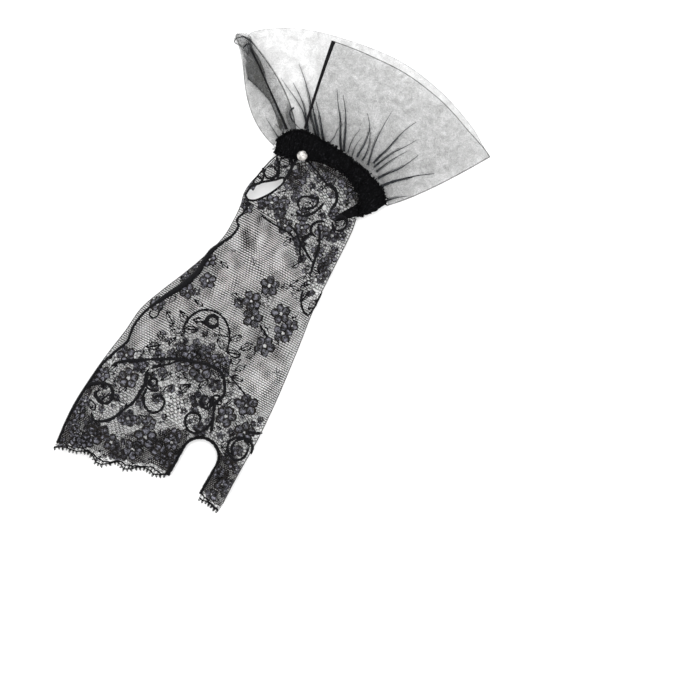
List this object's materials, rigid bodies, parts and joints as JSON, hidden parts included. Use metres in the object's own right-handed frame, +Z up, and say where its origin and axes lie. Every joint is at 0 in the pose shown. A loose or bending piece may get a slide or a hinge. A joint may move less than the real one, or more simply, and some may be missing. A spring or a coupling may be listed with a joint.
{
  "type": "lace glove",
  "caption": "Fingerless lace dress glove lying flat, with a four-finger opening, a thumb opening, a ruched wrist band and a gathered tulle ruffle.",
  "frame": {"origin": "middle of the bounding box, on the surface that the glove lies on", "axes": "+Y along the glove from the hand openings towards the ruffle, +X towards the thumb side, +Z up from the surface"},
  "size_m": [0.1688, 0.304, 0.0177],
  "materials": {
    "lace": "black stretch lace",
    "ruching": "matt black, gathered",
    "tulle": "sheer black net",
    "binding": "black thread",
    "pearl": "pearl"
  },
  "bodies": {
    "root": {"lace_sleeve": "lace", "wrist_band": "ruching", "tulle_ruffle": "tulle", "side_seam": "binding", "placket_binding": "binding", "crotch_binding": "binding", "ruffle_edge_front": "binding", "ruffle_edge_back": "binding", "pearl_button": "pearl"}
  },
  "joints": []
}
